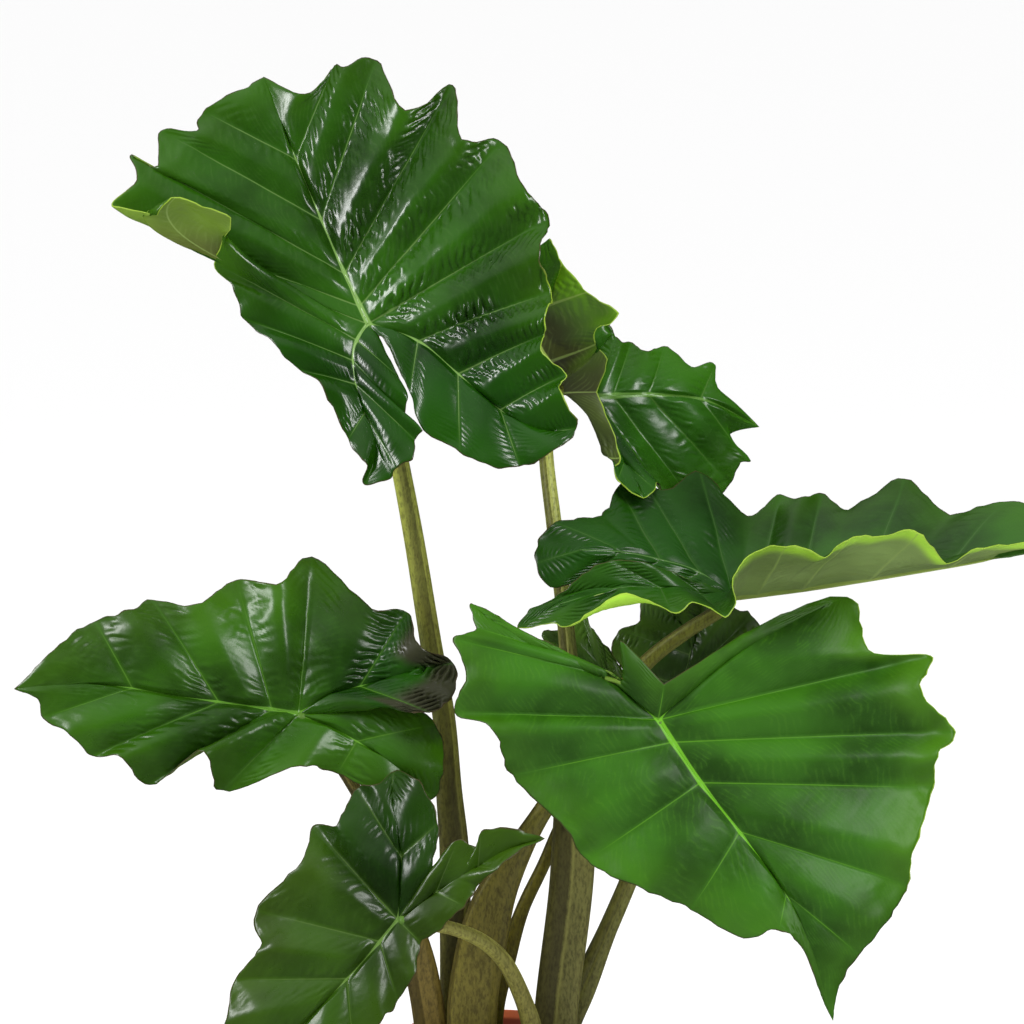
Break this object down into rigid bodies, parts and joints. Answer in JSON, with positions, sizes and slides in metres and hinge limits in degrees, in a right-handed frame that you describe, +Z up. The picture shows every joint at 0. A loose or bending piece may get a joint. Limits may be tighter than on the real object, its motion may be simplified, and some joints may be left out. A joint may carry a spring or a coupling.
{
  "type": "potted aroid house plant",
  "caption": "Potted portodora alocasia with large glossy arrow-shaped leaves, waved and deeply veined, on long sheathed stalks in a tapered grower's pot.",
  "frame": {"origin": "centre of the flat underside of the pot", "axes": "+Z up along the pot's axis, -Y towards the front that the picture shows, +X to the right of that view"},
  "size_m": [1.0499, 0.3787, 1.1868],
  "materials": {
    "pot": "moulded, faintly satin terracotta-coloured plastic",
    "soil": "loose dark peat",
    "leaf": "glossy waxy leaf, lighter and duller below",
    "stalk": "smooth fleshy stalk, mottled olive and brown"
  },
  "bodies": {
    "root": {"pot": "pot", "soil": "soil", "leaf_1_blade": "leaf", "leaf_2_blade": "leaf", "leaf_3_blade": "leaf", "leaf_4_blade": "leaf", "leaf_5_blade": "leaf", "leaf_6_blade": "leaf", "leaf_7_blade": "leaf", "stalk_1": "stalk", "stalk_2": "stalk", "stalk_3": "stalk", "stalk_4": "stalk", "stalk_5": "stalk", "stalk_6": "stalk", "stalk_7": "stalk"}
  },
  "joints": []
}
